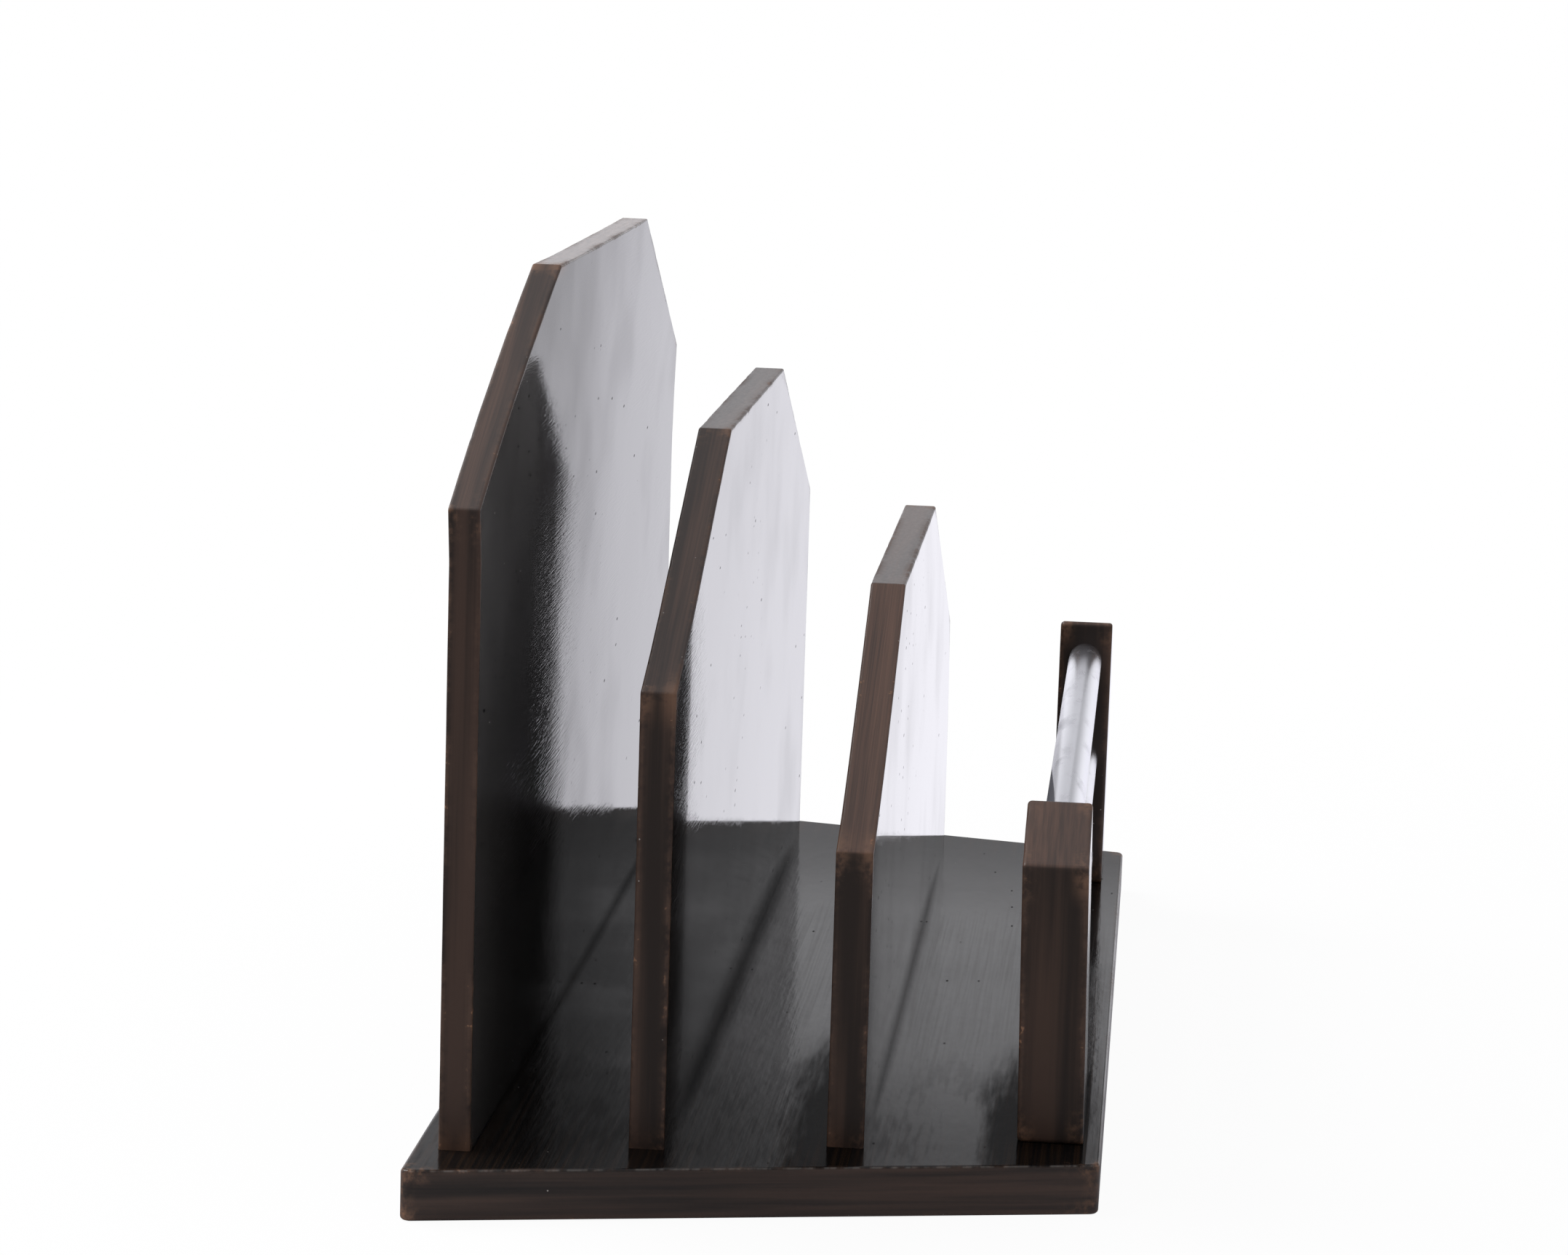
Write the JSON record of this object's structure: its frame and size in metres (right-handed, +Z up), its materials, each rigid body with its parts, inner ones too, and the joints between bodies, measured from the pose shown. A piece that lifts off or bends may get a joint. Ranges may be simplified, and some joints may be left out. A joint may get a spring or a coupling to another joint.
{
  "type": "letter holder",
  "caption": "Desk letter holder: stepped upright boards with sloped shoulders on a tapered base, and a front rail of chrome rods between two wooden posts.",
  "frame": {"origin": "centre of the base's bounding box, on its underside", "axes": "+X along the boards, -Y towards the rail at the front, +Z up"},
  "size_m": [0.2712, 0.105, 0.138],
  "materials": {
    "dark_polished_wood": "dark stained hardwood with a worn black polish",
    "chrome_rod": "bright plated, lightly marked",
    "screw_steel": "dull, slotted"
  },
  "bodies": {
    "root": {"base_board": "dark_polished_wood", "back_board": "dark_polished_wood", "middle_board": "dark_polished_wood", "front_board": "dark_polished_wood", "left_post": "dark_polished_wood", "right_post": "dark_polished_wood", "lower_rod": "chrome_rod", "middle_rod": "chrome_rod", "upper_rod": "chrome_rod", "board_screws": "screw_steel", "post_screws": "screw_steel"}
  },
  "joints": []
}
